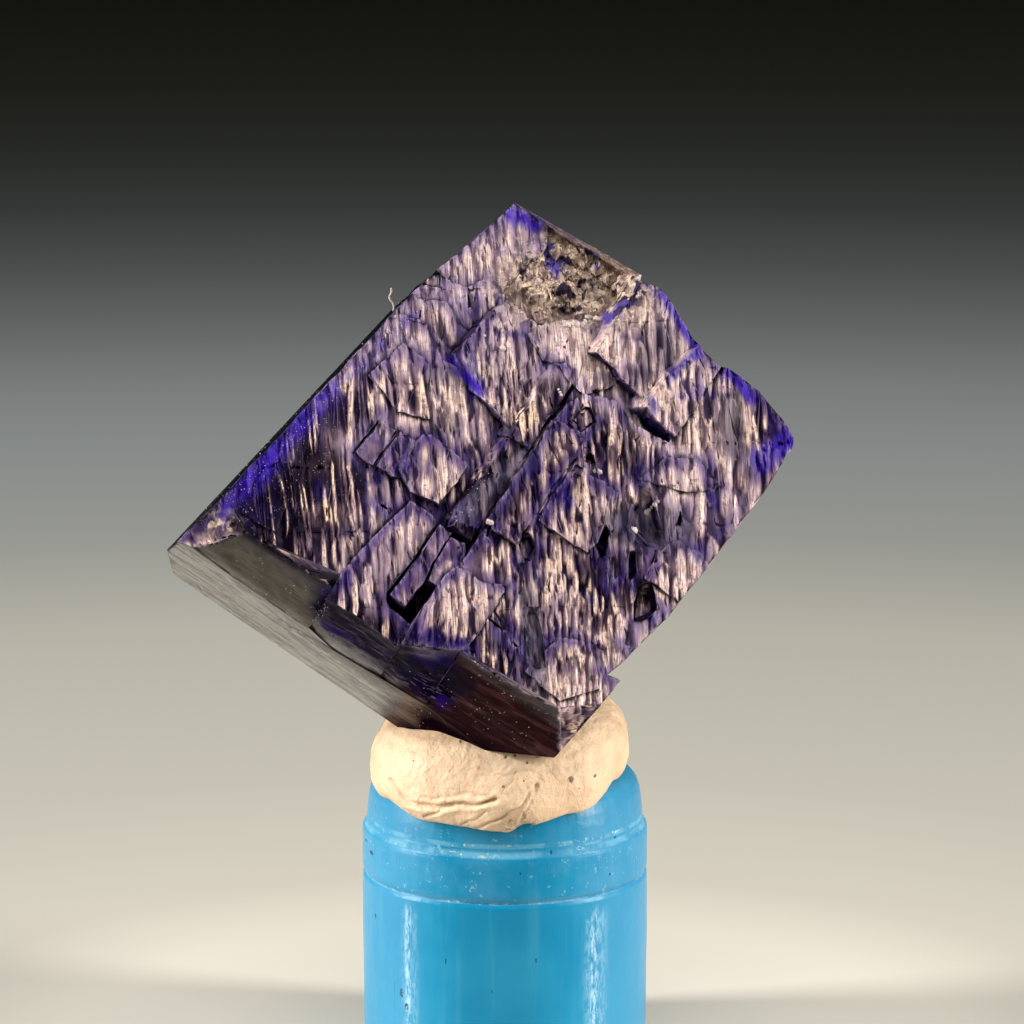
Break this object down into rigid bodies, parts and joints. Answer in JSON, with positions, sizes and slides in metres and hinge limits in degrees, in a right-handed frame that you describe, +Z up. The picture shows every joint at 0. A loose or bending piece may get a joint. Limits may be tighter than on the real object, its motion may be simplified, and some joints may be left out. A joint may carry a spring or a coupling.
{
  "type": "azurite specimen",
  "caption": "Dark blue azurite crystal with stepped, grooved faces, pressed at a tilt into a cream putty lump on a round blue post.",
  "frame": {"origin": "centre of the post's flat foot", "axes": "+Z up along the post; -Y towards the side the crystal's stepped front face looks to"},
  "size_m": [0.0172, 0.0122, 0.024],
  "materials": {
    "azurite": "glassy natural crystal faces, finely grooved, deep violet blue where the light passes through",
    "cream_putty": "soft matt modelling putty with creases and specks",
    "blue_wax": "waxy satin, scuffed along its rings"
  },
  "bodies": {
    "root": {"azurite_crystal": "azurite", "putty_lump": "cream_putty", "blue_post": "blue_wax"}
  },
  "joints": []
}
